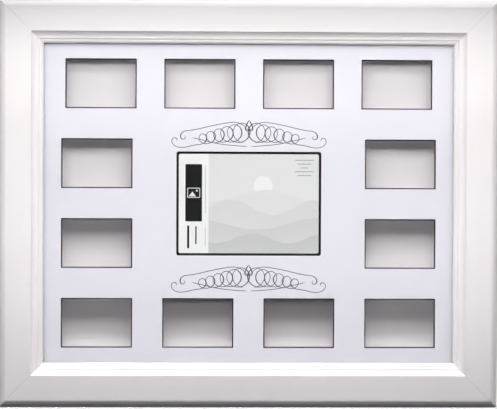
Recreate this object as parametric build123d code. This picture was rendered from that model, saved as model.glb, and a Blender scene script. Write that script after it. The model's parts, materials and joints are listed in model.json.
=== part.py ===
from build123d import *
import math
import os

os.makedirs("parts", exist_ok=True)

# Collage photo frame: white mitred moulding round a mat with thirteen windows, loaded from the back.
# All sizes are millimetres. X runs to the right, Y from the front to the back, Z up.
# The origin is the bottom centre of the whole frame, halfway through its depth.

# Sight opening, what shows between the lips: an 11 x 14 inch frame with quarter-inch lips
opening_width = 342.9
opening_height = 266.7

# Moulding section, from its outer side to the lip and from its face to the ledge
rail_width = 36.8
shoulder_width = 6.6
shoulder_depth = 6.4
cove_width = 5.4
cove_depth = 5.2
step_size = 1.2
lip_width = 3.0
nose_radius = 1.1
ledge_depth = 10.0
rabbet_width = 6.35
arris_radius = 0.5
back_ease = 0.8

# What lies in the rabbet, from the front to the back
glass_thickness = 2.0
mat_thickness = 1.4
spacer_depth = 11.6
backing_thickness = 3.0
pack_clearance = 0.8
spacer_width = 6.0

# Windows of the mat, and how far the outermost ones lie from the edge of the sight opening
small_window_width = 59.7
small_window_height = 41.8
centre_window_width = 121.6
centre_window_height = 87.4
centre_window_corner = 2.0
window_bevel = 1.1
windows_across = 4
windows_down = 4
top_row_margin = 17.7
bottom_row_margin = 14.4
level_margin = 12.25

# Display card behind the centre window, which it overlaps, and the tapes that hold it to the mat
card_side_overlap = 2.7
card_end_overlap = 0.75
card_thickness = 0.5
tape_length = 60.0
tape_width = 18.0
tape_thickness = 0.2
tape_grip = 8.0

# Turn buttons and the screws that they turn on
button_inset = 8.5
button_reach = 15.0
button_root_radius = 5.5
button_tip_radius = 4.2
button_thickness = 1.0
button_lift = 0.8
button_lift_length = 4.5
button_gap = 0.15
pivot_clearance = 0.06
long_button_spread = 190.0
short_button_spread = 140.0
screw_radius = 1.5
screw_depth = 12.0
screw_point = 3.0
screw_head_radius = 3.1
screw_head_height = 1.3
screw_head_slope = 0.9
driven_clearance = 0.05

# Sawtooth hanger and its nails
hanger_length = 46.0
hanger_width = 9.0
hanger_thickness = 0.8
hanger_lift = 1.3
hanger_tab = 9.0
hanger_ramp = 2.5
hanger_corner = 1.5
hanger_inset = 13.0
tooth_count = 9
tooth_pitch = 2.2
tooth_depth = 1.4
nail_radius = 0.8
nail_length = 11.0
nail_point = 2.0
nail_head_radius = 1.9
nail_head_height = 0.5

# V-nails, driven across each mitre from the back
v_nail_leg = 7.0
v_nail_thickness = 0.6
v_nail_height = 10.0
v_nail_sink = 0.3
v_nail_margin = 1.5
v_nail_spacing = 6.0

# Wall bumpers, cut from a felt sheet
bumper_radius = 5.5
bumper_height = 3.0
bumper_inset = 8.5

# How far a cutting tool runs past what it cuts
overrun = 2.0

# Sizes worked out from those above
frame_width = opening_width + 2 * rail_width
frame_height = opening_height + 2 * rail_width
mid_height = frame_height / 2
mat_front = ledge_depth + glass_thickness
mat_back = mat_front + mat_thickness
backing_front = mat_back + spacer_depth
rail_depth = backing_front + backing_thickness
frame_depth = rail_depth + bumper_height
front_y = -frame_depth / 2
back_y = front_y + rail_depth
rabbet_edge = rail_width - rabbet_width
pack_width = opening_width + 2 * (rabbet_width - pack_clearance)
pack_height = opening_height + 2 * (rabbet_width - pack_clearance)
top_pitch = (opening_width - 2 * top_row_margin - small_window_width) / (windows_across - 1)
bottom_pitch = (opening_width - 2 * bottom_row_margin - small_window_width) / (windows_across - 1)
level_pitch = (opening_height - 2 * level_margin - small_window_height) / (windows_down - 1)
card_width = centre_window_width + 2 * card_side_overlap
card_height = centre_window_height + 2 * card_end_overlap
button_pivot = rabbet_edge - button_inset
inner_v_nail = rabbet_edge - v_nail_margin - v_nail_leg
outer_v_nail = inner_v_nail - v_nail_spacing

# A quarter arc's middle, as a share of its radius, and the flatter shoulder's middle
quarter_share = math.sqrt(0.5)
shoulder_share = 0.33

# How far a piece made on the bottom rail is turned to come round to each side, in degrees
SIDE_ANGLES = {"bottom": 0, "left": 90, "top": 180, "right": 270}


def at_depth(outline, depth):
    """An outline in X and Z, laid at a depth behind the front face."""
    return Plane.XZ.offset(-(front_y + depth)) * outline


def flat_piece(outline, depth, thickness):
    """A flat piece of that outline, with its front at that depth."""
    return extrude(at_depth(outline, depth), amount=thickness, dir=(0, 1, 0))


def turned_piece(outline, x, z):
    """A round piece: half its section, as radius and height over the rail's back, turned about Y."""
    return Pos(x, back_y, z) * revolve(make_face(outline), axis=Axis.Y)


def is_long(side):
    """True for the top and bottom rails, which run along X and are the longer ones."""
    return side in ("top", "bottom")


def on_side(side, piece):
    """Carries a piece made for a rail along X, with its outer edge down on Z = 0, to that side."""
    reach = frame_height / 2 if is_long(side) else frame_width / 2
    return Pos(0, 0, mid_height) * Rot(0, SIDE_ANGLES[side], 0) * Pos(0, 0, -reach) * piece


def write(node, pieces):
    """Writes one node, made of one solid or of a group of separate ones."""
    solids = pieces if isinstance(pieces, list) else [pieces]
    shape = solids[0] if len(solids) == 1 else Compound(children=solids)
    shape.label = node
    export_step(shape, f"parts/{node}.step")


# Moulding


def moulding_section():
    """Section across a rail: X from the face to the back, Y from the outer side to the lip."""
    cove_end = rail_width - lip_width - step_size
    cove_start = cove_end - cove_width
    lip_face = cove_depth + step_size
    nose_start = rail_width - nose_radius
    shoulder = ThreePointArc(
        (shoulder_depth, 0),
        (shoulder_depth * shoulder_share, shoulder_width * shoulder_share),
        (0, shoulder_width),
    )
    cove = ThreePointArc(
        (0, cove_start),
        (cove_depth * quarter_share, cove_end - cove_width * quarter_share),
        (cove_depth, cove_end),
    )
    nose = ThreePointArc(
        (lip_face, nose_start),
        (lip_face + nose_radius * (1 - quarter_share), nose_start + nose_radius * quarter_share),
        (lip_face + nose_radius, rail_width),
    )
    face = Line(shoulder @ 1, cove @ 0)
    step = Polyline(cove @ 1, (lip_face, cove_end + step_size), nose @ 0)
    back = Polyline(
        nose @ 1,
        (ledge_depth, rail_width),
        (ledge_depth, rabbet_edge),
        (rail_depth, rabbet_edge),
        (rail_depth, back_ease),
        (rail_depth - back_ease, 0),
        shoulder @ 0,
    )
    section = make_face(shoulder + face + cove + step + nose + back)
    arris = section.vertices().sort_by_distance((0, cove_start))[0]
    return fillet(arris, arris_radius)


def plain_rail(length):
    """A rail along X with mitred ends, before anything is driven into it."""
    section = Plane.YZ.offset(-length / 2) * Pos(front_y, 0) * moulding_section()
    bar = extrude(section, amount=length, dir=(1, 0, 0))
    mitred = Polygon(
        (-length / 2, 0),
        (length / 2, 0),
        (length / 2 - rail_width, rail_width),
        (rail_width - length / 2, rail_width),
        align=None,
    )
    return bar & flat_piece(mitred, -overrun, rail_depth + 2 * overrun)


# Turn buttons and screws


def button_places(side):
    """How far along its rail each of a side's two turn buttons sits."""
    spread = long_button_spread if is_long(side) else short_button_spread
    return [-spread / 2, spread / 2]


def screw(place):
    """A turn button's pan-head screw, on a rail along X."""
    under_head = button_thickness + 2 * button_gap
    crown = under_head + screw_head_height
    outline = Polyline(
        (0, -screw_depth),
        (screw_radius, screw_point - screw_depth),
        (screw_radius, under_head),
        (screw_head_radius, under_head),
        (screw_head_radius - screw_head_slope, crown),
        (0, crown),
        close=True,
    )
    return turned_piece(outline, place, button_pivot)


def screw_hole(place):
    """The pilot hole that a screw is driven into."""
    bore = Cylinder(screw_radius + driven_clearance, screw_depth + driven_clearance + overrun)
    middle = back_y + (overrun - screw_depth - driven_clearance) / 2
    return Pos(place, middle, button_pivot) * Rot(90, 0, 0) * bore


def turn_button(place):
    """A flat steel button that tapers to its tip, where it is bent up for the finger."""
    root = Pos(place, button_pivot) * Circle(button_root_radius)
    tip = Pos(place, button_pivot + button_reach) * Circle(button_tip_radius)
    outline = make_hull((root + tip).edges())
    outline -= Pos(place, button_pivot) * Circle(screw_radius + pivot_clearance)
    low = back_y + button_gap
    end = button_pivot + button_reach + button_tip_radius
    bend = end - button_lift_length
    root_end = button_pivot - button_root_radius
    profile = Polygon(
        (low, root_end - overrun),
        (low, bend),
        (low + button_lift, end),
        (low + button_lift, end + overrun),
        (low + button_lift + button_thickness, end + overrun),
        (low + button_lift + button_thickness, end),
        (low + button_thickness, bend),
        (low + button_thickness, root_end - overrun),
        align=None,
    )
    width = 2 * (button_root_radius + overrun)
    strip = extrude(Plane.YZ.offset(place - width / 2) * profile, amount=width, dir=(1, 0, 0))
    blank = flat_piece(outline, rail_depth, button_gap + button_thickness + button_lift + overrun)
    return strip & blank


# Sawtooth hanger and nails


def hanger_nail_places():
    """Where the hanger's two nails go, along its rail."""
    reach = (hanger_length - hanger_tab) / 2
    return [-reach, reach]


def nail(place):
    """A nail of the hanger, on a rail along X."""
    under_head = hanger_thickness
    crown = under_head + nail_head_height
    outline = Polyline(
        (0, -nail_length),
        (nail_radius, nail_point - nail_length),
        (nail_radius, under_head),
        (nail_head_radius, under_head),
        (nail_head_radius, crown),
        (0, crown),
        close=True,
    )
    return turned_piece(outline, place, hanger_inset)


def nail_hole(place):
    """The hole that a nail leaves in the rail."""
    bore = Cylinder(nail_radius + driven_clearance, nail_length + driven_clearance + overrun)
    middle = back_y + (overrun - nail_length - driven_clearance) / 2
    return Pos(place, middle, hanger_inset) * Rot(90, 0, 0) * bore


def hanger():
    """A bent steel strip, flat on the rail at both ends and toothed along its raised middle."""
    flat = hanger_length / 2 - hanger_tab
    raised = flat - hanger_ramp
    lifted = Polyline(
        (-hanger_length / 2, 0),
        (-flat, 0),
        (-raised, hanger_lift),
        (raised, hanger_lift),
        (flat, 0),
        (hanger_length / 2, 0),
    )
    over = Polyline(
        (hanger_length / 2, hanger_thickness),
        (flat, hanger_thickness),
        (raised, hanger_lift + hanger_thickness),
        (-raised, hanger_lift + hanger_thickness),
        (-flat, hanger_thickness),
        (-hanger_length / 2, hanger_thickness),
    )
    profile = make_face(lifted + Line(lifted @ 1, over @ 0) + over + Line(over @ 1, lifted @ 0))
    strip = extrude(profile, amount=hanger_width, dir=(0, 0, 1))
    strip = Pos(0, back_y, hanger_inset - hanger_width / 2) * strip
    outline = Pos(0, hanger_inset) * RectangleRounded(hanger_length, hanger_width, hanger_corner)
    # The teeth hang from the edge that is nearer the middle of the frame, which is the lower one in use
    edge = hanger_inset + hanger_width / 2
    for index in range(tooth_count):
        middle = (index - (tooth_count - 1) / 2) * tooth_pitch
        outline -= Polygon(
            (middle - tooth_pitch / 2, edge),
            (middle, edge - tooth_depth),
            (middle + tooth_pitch / 2, edge),
            align=None,
        )
    for place in hanger_nail_places():
        outline -= Pos(place, hanger_inset) * Circle(nail_radius + driven_clearance)
    return strip & flat_piece(outline, rail_depth, hanger_lift + hanger_thickness + overrun)


# Corners


def v_nail(inset, slack=0.0, run=0.0):
    """An angled nail at the bottom left corner, or with slack and run the slot that it is driven into."""
    half = v_nail_thickness / 2 + slack
    long = inset + v_nail_leg + slack
    outline = Polygon(
        (inset - half, inset - half),
        (long, inset - half),
        (long, inset + half),
        (inset + half, inset + half),
        (inset + half, long),
        (inset - half, long),
        align=None,
    )
    head = rail_depth - v_nail_sink
    placed = Pos(-frame_width / 2, 0) * outline
    return flat_piece(placed, head - v_nail_height - slack, v_nail_height + slack + run)


def bumper():
    """A round felt pad at the bottom left corner, as stamped from the sheet."""
    outline = Pos(bumper_inset - frame_width / 2, bumper_inset) * Circle(bumper_radius)
    return flat_piece(outline, rail_depth, bumper_height)


def at_corners(piece):
    """The bottom left corner's piece, and its mirror images at the other three corners."""
    right = mirror(piece, about=Plane.YZ)
    level = Plane.XY.offset(mid_height)
    return {
        "lower_left": piece,
        "lower_right": right,
        "upper_left": mirror(piece, about=level),
        "upper_right": mirror(right, about=level),
    }


# What lies in the rabbet


def window_places():
    """The centres of the twelve small windows: a row above, a row below and two at each side."""
    columns = [column - (windows_across - 1) / 2 for column in range(windows_across)]
    levels = [level - (windows_down - 1) / 2 for level in range(windows_down)]
    above = [(column * top_pitch, levels[-1] * level_pitch) for column in columns]
    below = [(column * bottom_pitch, levels[0] * level_pitch) for column in columns]
    sides = (columns[0] * bottom_pitch, columns[-1] * bottom_pitch)
    beside = [(x, level * level_pitch) for x in sides for level in levels[1:-1]]
    return [(x, mid_height + z) for x, z in above + below + beside]


def window_cutter(outer, inner):
    """A bevelled window: the outer outline at the mat's face, narrowing to the inner one at its back."""
    entry = flat_piece(outer, mat_front - overrun, overrun)
    bevel = loft([at_depth(outer, mat_front), at_depth(inner, mat_back)])
    leaving = flat_piece(inner, mat_back, overrun)
    return entry + bevel + leaving


def small_window(x, z):
    """The cutter of a small window, with square corners."""
    outer = Rectangle(small_window_width, small_window_height)
    inner = Rectangle(small_window_width - 2 * window_bevel, small_window_height - 2 * window_bevel)
    return window_cutter(Pos(x, z) * outer, Pos(x, z) * inner)


def centre_window():
    """The cutter of the centre window, with rounded corners."""
    width = centre_window_width
    height = centre_window_height
    outer = RectangleRounded(width, height, centre_window_corner)
    inner = RectangleRounded(
        width - 2 * window_bevel,
        height - 2 * window_bevel,
        centre_window_corner - window_bevel,
    )
    return window_cutter(Pos(0, mid_height) * outer, Pos(0, mid_height) * inner)


def collage_mat():
    """The mat board with its thirteen windows."""
    board = flat_piece(Pos(0, mid_height) * Rectangle(pack_width, pack_height), mat_front, mat_thickness)
    for x, z in window_places():
        board -= small_window(x, z)
    return board - centre_window()


def display_card():
    """The printed card that fills the centre window, flat against the back of the mat."""
    outline = Pos(0, mid_height) * Rectangle(card_width, card_height)
    return flat_piece(outline, mat_back, card_thickness)


def card_tape(direction):
    """A strip of tape over the card's upper or lower edge, stepped down onto the mat."""
    edge = card_height / 2
    card_end = edge + tape_thickness
    inner = edge - tape_grip
    outer = inner + tape_width
    high = mat_back + card_thickness
    profile = Polygon(
        (high, inner),
        (high, edge),
        (mat_back, edge),
        (mat_back, outer),
        (mat_back + tape_thickness, outer),
        (mat_back + tape_thickness, card_end),
        (high + tape_thickness, card_end),
        (high + tape_thickness, inner),
        align=None,
    )
    strip = extrude(Plane.YZ.offset(-tape_length / 2) * profile, amount=tape_length, dir=(1, 0, 0))
    turned = Rot(0, 0 if direction > 0 else 180, 0) * strip
    return Pos(0, front_y, mid_height) * turned


def spacer(side):
    """A foam strip that keeps the backing away from the mat, out of sight behind the lip."""
    from_edge = rabbet_edge + pack_clearance
    length = pack_width if is_long(side) else pack_height - 2 * spacer_width
    outline = Pos(0, from_edge + spacer_width / 2) * Rectangle(length, spacer_width)
    return on_side(side, flat_piece(outline, mat_back, spacer_depth))


v_nails = []
v_nail_slots = []
for inset in (outer_v_nail, inner_v_nail):
    slot = v_nail(inset, driven_clearance, v_nail_sink + overrun)
    v_nails += at_corners(v_nail(inset)).values()
    v_nail_slots += at_corners(slot).values()

screws = []
for side in SIDE_ANGLES:
    length = frame_width if is_long(side) else frame_height
    rail = plain_rail(length)
    for number, place in enumerate(button_places(side), start=1):
        rail -= screw_hole(place)
        screws.append(on_side(side, screw(place)))
        write(f"turn_button_{side}_{number}", on_side(side, turn_button(place)))
    if side == "top":
        for place in hanger_nail_places():
            rail -= nail_hole(place)
    rail = on_side(side, rail)
    for slot in v_nail_slots:
        rail -= slot
    write(f"rail_{side}", rail)
    write(f"spacer_{side}", spacer(side))

write("sawtooth_hanger", on_side("top", hanger()))
write("hanger_nails", [on_side("top", nail(place)) for place in hanger_nail_places()])

for corner, pad in at_corners(bumper()).items():
    write(f"bumper_{corner}", pad)

pack_outline = Pos(0, mid_height) * Rectangle(pack_width, pack_height)
write("glass_pane", flat_piece(pack_outline, ledge_depth, glass_thickness))
write("collage_mat", collage_mat())
write("display_card", display_card())
write("card_tapes", [card_tape(1), card_tape(-1)])
write("backing_board", flat_piece(pack_outline, backing_front, backing_thickness))
write("turn_button_screws", screws)
write("corner_v_nails", v_nails)

print(f"frame {frame_width:.1f} x {frame_height:.1f} x {frame_depth:.1f} mm")
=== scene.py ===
# %% [markdown]
# A white collage photo frame.
#
# The frame, its glass, mat, backing board and back hardware come in as finished solids at their real
# size. This lesson gives them their looks: the moulding is drawn again with smooth curves, the small
# hardware gets its stamped and rounded edges, and every surface gets the finish of the real one.
# Front faces look along -Y, X runs to the right and Z up, all in metres.

# %% Load the frame
import json
import math

import bmesh
import bpy
from mathutils import Matrix, Vector

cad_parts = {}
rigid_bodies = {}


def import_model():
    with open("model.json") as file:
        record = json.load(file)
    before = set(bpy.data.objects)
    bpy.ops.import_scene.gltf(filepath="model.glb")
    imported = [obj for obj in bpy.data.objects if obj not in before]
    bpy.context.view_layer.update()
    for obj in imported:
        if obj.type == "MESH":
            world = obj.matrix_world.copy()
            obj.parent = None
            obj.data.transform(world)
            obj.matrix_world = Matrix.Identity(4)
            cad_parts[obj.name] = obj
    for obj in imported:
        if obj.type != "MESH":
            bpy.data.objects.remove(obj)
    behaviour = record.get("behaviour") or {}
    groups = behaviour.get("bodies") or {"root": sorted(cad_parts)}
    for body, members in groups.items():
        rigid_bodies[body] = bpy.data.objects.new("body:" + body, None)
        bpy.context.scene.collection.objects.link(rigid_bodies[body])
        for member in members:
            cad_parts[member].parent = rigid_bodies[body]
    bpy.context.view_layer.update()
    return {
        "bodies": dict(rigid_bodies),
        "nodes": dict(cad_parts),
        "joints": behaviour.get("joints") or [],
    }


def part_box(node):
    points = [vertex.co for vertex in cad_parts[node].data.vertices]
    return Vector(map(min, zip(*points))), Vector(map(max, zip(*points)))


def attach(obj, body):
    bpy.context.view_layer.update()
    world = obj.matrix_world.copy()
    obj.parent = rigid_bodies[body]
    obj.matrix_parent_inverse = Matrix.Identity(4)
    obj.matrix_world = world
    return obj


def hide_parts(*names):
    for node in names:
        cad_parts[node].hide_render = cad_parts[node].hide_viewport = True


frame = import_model()

# %% [markdown]
# The overall sizes are read from the solids, so the looks follow the construction. Everything below is
# worked out from the bottom rail, which runs along X with its outer edge on the floor, and from the
# middle of the frame, round which a piece made for that rail turns to reach another side. Two very
# small lengths say when two points count as one, and when a point counts as being at a place. A face
# looks squarely along an axis when nine tenths of its normal lie that way.

# %% Sizes read from the frame
mm = 0.001
fine = 0.001 * mm
near = 0.01 * mm
squarely = 0.9
bottom_low, bottom_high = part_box("rail_bottom")
left_low, left_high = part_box("rail_left")
frame_width = bottom_high.x - bottom_low.x
frame_height = left_high.z - left_low.z
rail_width = bottom_high.z - bottom_low.z
front_y = bottom_low.y
back_y = bottom_high.y
rail_depth = back_y - front_y
mat_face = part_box("collage_mat")[0].y
middle = Vector((0, 0, frame_height / 2))
SIDE_ANGLES = {"bottom": 0, "left": 90, "top": 180, "right": 270}
print("frame", round(frame_width / mm, 1), "x", round(frame_height / mm, 1), "mm")
print("rails", round(rail_width / mm, 1), "x", round(rail_depth / mm, 1), "mm")


def to_side(side):
    """The turn that carries a piece made for the bottom rail round to that side."""
    reach = frame_height / 2 if side in ("top", "bottom") else frame_width / 2
    turn = Matrix.Rotation(math.radians(SIDE_ANGLES[side]), 4, "Y")
    return Matrix.Translation(middle) @ turn @ Matrix.Translation((0, 0, -reach))


# %% [markdown]
# The camera comes first, because every later look is judged through it. The photograph is a straight
# product shot that the frame fills. A long lens from well back keeps the rails parallel, and the
# camera stands a little to the left, which makes the left windows a touch larger than the right ones.
# It is also held a quarter of a degree off level, as the sides of the picture show.

# %% Camera
PICTURE_WIDTH = 497
pixels_per_mm = 1.196
camera_distance = 1.6
camera_place = Vector((-0.0425, -1.6063, 0.1951))
camera_yaw = -1.51
camera_pitch = -0.914
camera_roll = 0.235
sensor_width = 36

camera_data = bpy.data.cameras.new("camera")
camera_data.sensor_width = sensor_width
camera_data.lens = pixels_per_mm * camera_distance / mm / PICTURE_WIDTH * sensor_width
camera_data.clip_end = 100
camera = bpy.data.objects.new("camera", camera_data)
camera.location = camera_place
yawed = Matrix.Rotation(math.radians(camera_yaw), 4, "Z")
pitched = Matrix.Rotation(math.radians(90 + camera_pitch), 4, "X")
rolled = Matrix.Rotation(math.radians(camera_roll), 4, "Z")
camera.rotation_euler = (yawed @ pitched @ rolled).to_euler()
bpy.context.scene.collection.objects.link(camera)
bpy.context.scene.camera = camera
print("lens", round(camera_data.lens, 1), "mm")

# %% [markdown]
# One small function turns the hex code of a colour, as a paint chart or a picture editor gives it,
# into the linear values that a shader works with. A second adds one node to a material, with its
# settings and with what feeds it, so that each finish below reads as a list of what it is made of.

# %% Colours and nodes


def linear(code):
    """An sRGB hex colour as linear red, green, blue and alpha."""
    channels = [int(code[place:place + 2], 16) / 255 for place in (1, 3, 5)]
    return (*[c / 12.92 if c <= 0.04045 else ((c + 0.055) / 1.055) ** 2.4 for c in channels], 1.0)


def add(material, kind, settings=(), links=()):
    """Adds a node: settings name its sockets or its properties, links name sockets and their sources."""
    node = material.node_tree.nodes.new("ShaderNode" + kind)
    for name, value in dict(settings).items():
        if isinstance(name, str) and hasattr(node, name):
            setattr(node, name, value)
    for name, value in dict(settings).items():
        if isinstance(name, int) or not hasattr(node, name):
            node.inputs[name].default_value = value
    for name, source in dict(links).items():
        material.node_tree.links.new(source, node.inputs[name])
    return node


def new_material(name):
    """An empty material that is built from nodes."""
    material = bpy.data.materials.new(name)
    material.use_nodes = True
    material.node_tree.nodes.clear()
    return material


# The Mix node keeps its two colours in sockets 6 and 7 and gives the mixed colour from its third output
MIX_A = 6
MIX_B = 7
MIXED = 2

# %% [markdown]
# The modelling is done as by hand. A drawn outline starts from one point, is drawn on by extruding
# that point along lines and arcs, and is filled with a face. A last helper picks the points, edges or
# faces that the next operator shall act on, by where they are.

# %% Drawing and picking


def deselect():
    """Leaves nothing selected, because an operator acts on all that is."""
    bpy.ops.object.select_all(action="DESELECT")


def start_point(name, place):
    """A new piece of one point, open for editing: the start of a drawn outline."""
    deselect()
    bpy.ops.mesh.primitive_plane_add(size=mm, location=place)
    piece = bpy.context.object
    piece.name = name
    piece.data.name = name
    bpy.ops.object.transform_apply()
    bpy.ops.object.mode_set(mode="EDIT")
    bpy.ops.mesh.select_mode(type="VERT")
    bpy.ops.mesh.select_all(action="SELECT")
    bpy.ops.mesh.merge(type="CENTER")
    return piece


def line_to(start, *ends):
    """Draws straight lines on from the last point, and returns where they end."""
    for end in ends:
        bpy.ops.mesh.extrude_vertices_move(TRANSFORM_OT_translate={"value": tuple(end - start)})
        start = end
    return start


def arc_to(start, through, end, steps):
    """Draws an arc of less than half a circle on from the last point, and returns its end."""
    first = through - start
    second = end - start
    normal = first.cross(second)
    aside = second.length_squared * normal.cross(first) + first.length_squared * second.cross(normal)
    centre = start + aside / (2 * normal.length_squared)
    angle = (start - centre).angle(end - centre)
    # Spin counts its angle against the right-hand rule
    bpy.ops.mesh.spin(steps=steps, angle=-angle, center=centre, axis=normal.normalized())
    return end


def close_outline():
    """Joins the last point to the first and fills the outline with one face."""
    bpy.ops.mesh.select_all(action="SELECT")
    bpy.ops.mesh.remove_doubles(threshold=fine)
    bpy.ops.mesh.edge_face_add()


def pull(along):
    """Extrudes what is selected, in metres."""
    bpy.ops.mesh.extrude_region_move(TRANSFORM_OT_translate={"value": tuple(along)})


def pick(piece, mode, test):
    """Selects the points, edges or faces of the piece in edit mode that pass the test."""
    bpy.ops.mesh.select_mode(type=mode)
    bpy.ops.mesh.select_all(action="DESELECT")
    mesh = bmesh.from_edit_mesh(piece.data)
    parts = {"VERT": mesh.verts, "EDGE": mesh.edges, "FACE": mesh.faces}[mode]
    for part in parts:
        if test(part):
            part.select_set(True)
    mesh.select_flush_mode()
    bmesh.update_edit_mesh(piece.data)


# %% [markdown]
# Some steps end every piece. Its faces are turned outwards, it is shaded round where it bends little,
# modifiers are applied to it, and cutters are taken away from it. What repeats is modelled once and
# copied, each copy with a mesh of its own, so that it can be changed without the others.

# %% Closing, cutting and copying


def select_only(piece):
    """Makes the piece the only one that an operator acts on."""
    deselect()
    piece.select_set(True)
    bpy.context.view_layer.objects.active = piece


def face_outwards():
    """Turns all faces of the piece in edit mode outwards."""
    bpy.ops.mesh.select_all(action="SELECT")
    bpy.ops.mesh.normals_make_consistent(inside=False)


def close_piece(piece, smooth_under):
    """Leaves edit mode with all faces outwards, and shades what bends by less than that as round."""
    bpy.ops.mesh.select_all(action="SELECT")
    bpy.ops.mesh.remove_doubles(threshold=fine)
    face_outwards()
    bpy.ops.object.mode_set(mode="OBJECT")
    bpy.ops.object.shade_smooth_by_angle(angle=math.radians(smooth_under))


def apply_modifier(piece, kind, settings):
    """Gives the piece a modifier with those settings, and makes its result part of the mesh."""
    select_only(piece)
    modifier = piece.modifiers.new(kind.lower(), kind)
    for name, value in settings.items():
        setattr(modifier, name, value)
    bpy.ops.object.modifier_apply(modifier=modifier.name)


def keep_flats(piece, smooth_under=30):
    """Shades what bends by less than that as round, and lets each wide face keep its own direction."""
    select_only(piece)
    bpy.ops.object.shade_smooth_by_angle(angle=math.radians(smooth_under))
    apply_modifier(piece, "WEIGHTED_NORMAL", {"keep_sharp": True})


def remove(piece):
    """Throws away a piece that was only a start for others."""
    bpy.data.objects.remove(piece)


def cut(piece, cutter):
    """Cuts one piece out of another, and throws the cutter away."""
    apply_modifier(piece, "BOOLEAN", {"operation": "DIFFERENCE", "solver": "EXACT", "object": cutter})
    remove(cutter)


def copy_to(piece, name, place):
    """A copy of a finished piece with a mesh of its own, carried to its place."""
    mesh = piece.data.copy()
    mesh.name = name
    mesh.transform(place)
    copy = bpy.data.objects.new(name, mesh)
    bpy.context.scene.collection.objects.link(copy)
    return copy


def join(name, pieces):
    """Makes one piece of several."""
    select_only(pieces[0])
    for piece in pieces:
        piece.select_set(True)
    bpy.ops.object.join()
    pieces[0].name = name
    pieces[0].data.name = name
    return pieces[0]


# %% [markdown]
# The moulding is milled from fibreboard in long bars: a rounded shoulder, a wide flat face, a cove, a
# small step and a rounded lip that holds the glass. So its section is drawn once and pulled out along
# X, and the arris between face and cove is rounded as sanding leaves it. Drawn arcs give the cove, the
# lip and the shoulder the soft, even shading of lacquered wood, which flat facets would break into
# bands. The lip is a quarter round down to the glass, bright below the picture and dark above it.

# %% Moulding section
shoulder_width = 6.6 * mm
shoulder_depth = 6.4 * mm
shoulder_share = 0.33
cove_width = 5.4 * mm
cove_depth = 5.2 * mm
quarter_share = math.sqrt(0.5)
step_size = 1.2 * mm
lip_width = 3.0 * mm
lip_drop = 3.0 * mm
ledge_depth = 10 * mm
rabbet_width = 6.35 * mm
back_ease = 0.8 * mm
arris_radius = 0.5 * mm
sanded_edge = 0.25 * mm
shoulder_steps = 18
cove_steps = 20
lip_steps = 10
arris_steps = 5
edge_steps = 3

cove_end = rail_width - lip_width - step_size
cove_start = cove_end - cove_width
lip_face = cove_depth + step_size
lip_radius = (lip_width**2 + lip_drop**2) / (2 * lip_drop)
lip_half_drop = lip_radius - math.sqrt(lip_radius**2 - lip_width**2 / 4)
rabbet_edge = rail_width - rabbet_width


def draw_section(x):
    """The section across the bottom rail, as a face at that place along it."""

    def at(depth, width):
        return Vector((x, front_y + depth, width))

    start = at(shoulder_depth, 0)
    piece = start_point("bar", start)
    bulge = at(shoulder_depth * shoulder_share, shoulder_width * shoulder_share)
    pen = arc_to(start, bulge, at(0, shoulder_width), shoulder_steps)
    pen = line_to(pen, at(0, cove_start))
    hollow = at(cove_depth * quarter_share, cove_end - cove_width * quarter_share)
    pen = arc_to(pen, hollow, at(cove_depth, cove_end), cove_steps)
    pen = line_to(pen, at(lip_face, cove_end + step_size))
    bead = at(lip_face + lip_half_drop, rail_width - lip_width / 2)
    pen = arc_to(pen, bead, at(lip_face + lip_drop, rail_width), lip_steps)
    rabbet = (at(ledge_depth, rail_width), at(ledge_depth, rabbet_edge), at(rail_depth, rabbet_edge))
    line_to(pen, *rabbet, at(rail_depth, back_ease), at(rail_depth - back_ease, 0), start)
    close_outline()
    return piece


def runs_at(depth, width):
    """A test for the edges that run along the rail at that place of its section."""
    place = Vector((front_y + depth, width))

    def test(edge):
        return all((Vector(point.co.yz) - place).length < near for point in edge.verts)

    return test


# %% [markdown]
# The four rails meet in mitres, glued and pinned by V-nails from the back. Each bar is cut at 45
# degrees by bisecting it, with the cut filled. The slots of the V-nails are cut with boxes, because the
# bright nails show in them on the back of a real frame. Two lengths are modelled, and each is then
# copied to the two sides that need it. A rounded edge would bend the shading of the whole wide face
# beside it, since the two share their normals where they meet. Normals weighted by area let the wide
# face decide, so it stays flat and only its edge catches the light.

# %% Rails
v_nail_leg = 7.0 * mm
v_nail_width = 0.7 * mm
v_nail_depth = 10.4 * mm
v_nail_insets = (15.95 * mm, 21.95 * mm)


def v_nail_cutter(end, length, inset):
    """A box that cuts a V-nail's slot in one end of a bar, from past the mitre to the tip of its leg."""
    tip = inset + v_nail_leg
    past_mitre = inset - 2 * v_nail_width
    from_end = (tip + past_mitre) / 2
    place = (end * (length / 2 - from_end), back_y + (mm - v_nail_depth) / 2, inset)
    deselect()
    bpy.ops.mesh.primitive_cube_add(size=1, location=place)
    cutter = bpy.context.object
    cutter.scale = (tip - past_mitre, v_nail_depth + mm, v_nail_width)
    bpy.ops.object.transform_apply()
    return cutter


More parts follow.
